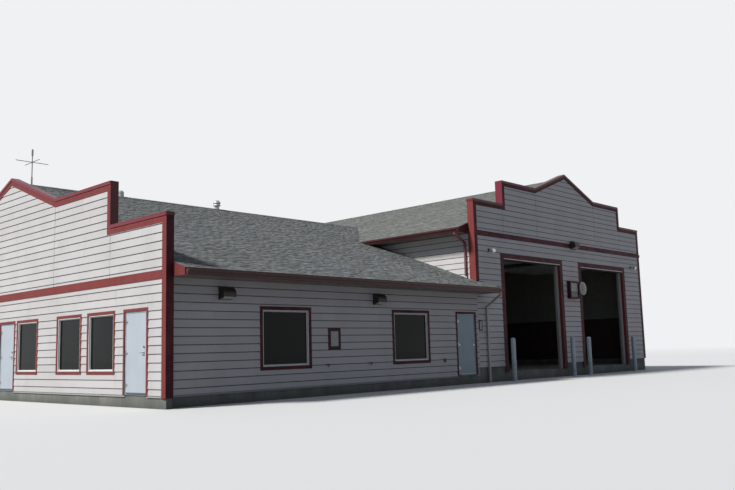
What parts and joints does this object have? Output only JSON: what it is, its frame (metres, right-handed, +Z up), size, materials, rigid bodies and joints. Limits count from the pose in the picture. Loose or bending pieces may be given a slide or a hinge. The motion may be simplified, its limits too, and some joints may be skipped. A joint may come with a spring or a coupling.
{
  "type": "fire station building",
  "caption": "Small-town fire station: low gabled wing with a stepped false front and a taller hall with open vehicle bays behind a second stepped false front.",
  "frame": {"origin": "on the floor under the middle of the whole building", "axes": "X runs right along the front, Y runs from the front to the back, Z is up"},
  "size_m": [26.048, 18.77, 8.1712],
  "materials": {
    "concrete": "cast concrete, weathered",
    "siding": "painted lap siding, satin, weathered",
    "shingles": "mineral-surfaced asphalt shingles",
    "red_trim": "barn red paint on boards",
    "red_metal": "barn red baked enamel on sheet metal",
    "board_ceiling": "painted plasterboard",
    "white_frame": "extruded vinyl",
    "window_glass": "sealed tinted glass",
    "door_paint": "blue-grey enamel on steel",
    "pale_door_paint": "white enamel on steel",
    "frame_paint": "enamel on pressed steel",
    "door_metal": "brushed, worn",
    "grey_lining": "light grey paint",
    "galvanised": "galvanised, dull",
    "bay_door_paint": "white enamel, ribbed sections",
    "lamp_housing": "bronze powder coat",
    "plate_paint": "painted frame with a pale face",
    "dish_enamel": "beige enamel, weathered",
    "bollard_paint": "pale blue paint, chipped",
    "antenna_metal": "mill finish, dull"
  },
  "bodies": {
    "root": {"foundation": "concrete", "hall_plinth": "concrete", "facade_false_front": "siding", "facade_walls": "siding", "wing_front_wall": "siding", "side_door_lintel": "siding", "wing_rear_wall": "siding", "hall_front_piers": "siding", "hall_false_front": "siding", "hall_wall_left": "siding", "hall_wall_right": "siding", "hall_wall_rear": "siding", "wing_roof_front": "shingles", "wing_roof_rear": "shingles", "hall_roof_left": "shingles", "hall_roof_right": "shingles", "wing_eaves": "red_trim", "hall_eaves": "red_trim", "gutters": "red_metal", "ceilings": "board_ceiling", "facade_cap_boards": "red_trim", "facade_cap_flashing": "red_metal", "hall_cap_boards": "red_trim", "hall_cap_flashing": "red_metal", "wall_casings": "red_trim", "bay_casings": "red_trim", "corner_boards": "red_trim", "window_frames": "white_frame", "window_glass": "window_glass", "far_door": "pale_door_paint", "far_door_hardware": "door_metal", "door_frames": "frame_paint", "door_frame_hinges": "door_metal", "bay_linings": "grey_lining", "bay_door_tracks": "galvanised", "bay_doors_raised": "bay_door_paint", "downspouts": "red_metal", "wall_lamps": "lamp_housing", "flood_lamps": "lamp_housing", "wall_plates": "plate_paint", "round_mirror": "dish_enamel", "wall_taps": "galvanised", "bollards": "bollard_paint", "antenna": "antenna_metal", "ridge_vents": "galvanised"},
    "side_door": {"side_door": "door_paint", "side_door_hardware": "door_metal"},
    "near_door": {"near_door": "pale_door_paint", "near_door_hardware": "door_metal"},
    "entrance_door": {"entrance_door": "pale_door_paint", "entrance_door_hardware": "door_metal"}
  },
  "joints": [
    {"name": "side_door_hinge", "type": "hinge", "parent": "root", "child": "side_door", "pos_m": [-1.671, -8.55, 1.322], "axis": [0, 0, -1], "range_deg": [0, 90]},
    {"name": "near_door_hinge", "type": "hinge", "parent": "root", "child": "near_door", "pos_m": [-12.98, -6.9885, 1.2985], "axis": [0, 0, -1], "range_deg": [0, 90]},
    {"name": "entrance_door_hinge", "type": "hinge", "parent": "root", "child": "entrance_door", "pos_m": [-12.98, 0.4545, 1.2985], "axis": [0, 0, -1], "range_deg": [0, 90]}
  ]
}
